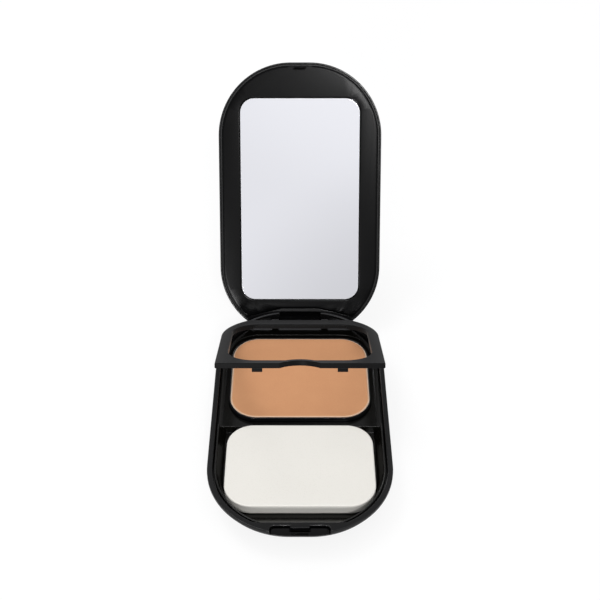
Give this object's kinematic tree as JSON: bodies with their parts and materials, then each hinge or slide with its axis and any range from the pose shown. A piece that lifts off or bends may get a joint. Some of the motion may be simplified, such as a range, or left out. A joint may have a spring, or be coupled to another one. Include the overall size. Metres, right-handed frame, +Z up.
{
  "type": "powder compact",
  "caption": "Pressed powder compact with a mirror lid, a hinged pan frame, a powder refill in a cup, a sponge in its own well and a push-button latch.",
  "frame": {"origin": "centre of the flat underside of the base", "axes": "+Z up, -Y towards the push button at the front, X along the hinge pin"},
  "size_m": [0.066, 0.1653, 0.0994],
  "materials": {
    "black_shell": "moulded, satin gloss",
    "black_gloss": "high gloss",
    "black_cup": "high gloss",
    "black_frame": "moulded, satin gloss",
    "black_button": "satin gloss",
    "black_lid": "moulded, satin gloss",
    "black_panel": "moulded, satin gloss",
    "powder": "pressed matte powder",
    "pan_metal": "stamped sheet",
    "adhesive": "matte glue film",
    "sponge": "fine closed-cell latex foam",
    "pin_steel": "drawn wire",
    "spring_steel": "strip steel",
    "tape": "double-sided tape",
    "mirror": "silvered glass"
  },
  "bodies": {
    "base": {"base_shell": "black_shell", "inner_tray": "black_gloss", "refill_cup": "black_cup", "pan_adhesive": "adhesive", "powder_pan": "pan_metal", "powder_cake": "powder", "sponge": "sponge", "hinge_pin": "pin_steel", "latch_spring": "spring_steel"},
    "lid": {"lid_shell": "black_lid", "mirror_frame": "black_panel", "mirror_tape": "tape", "mirror": "mirror"},
    "frame": {"pan_frame": "black_frame"},
    "button": {"latch_button": "black_button"}
  },
  "joints": [
    {"name": "lid_hinge", "type": "hinge", "parent": "base", "child": "lid", "pos_m": [0, 0.0508, 0.0087], "axis": [1, 0, 0], "range_deg": [0, 120.3]},
    {"name": "frame_hinge", "type": "hinge", "parent": "base", "child": "frame", "pos_m": [0, 0.0508, 0.0087], "axis": [1, 0, 0], "range_deg": [0, 25.1]},
    {"name": "button_press", "type": "slide", "parent": "base", "child": "button", "axis": [0, 1, 0], "range_m": [0, 0.00055], "stiffness_N_per_m": 1500, "deforming": ["latch_spring"]}
  ],
  "couplings": [
    {"joint": "frame_hinge", "follows": "lid_hinge", "ratio": 0.20865}
  ]
}
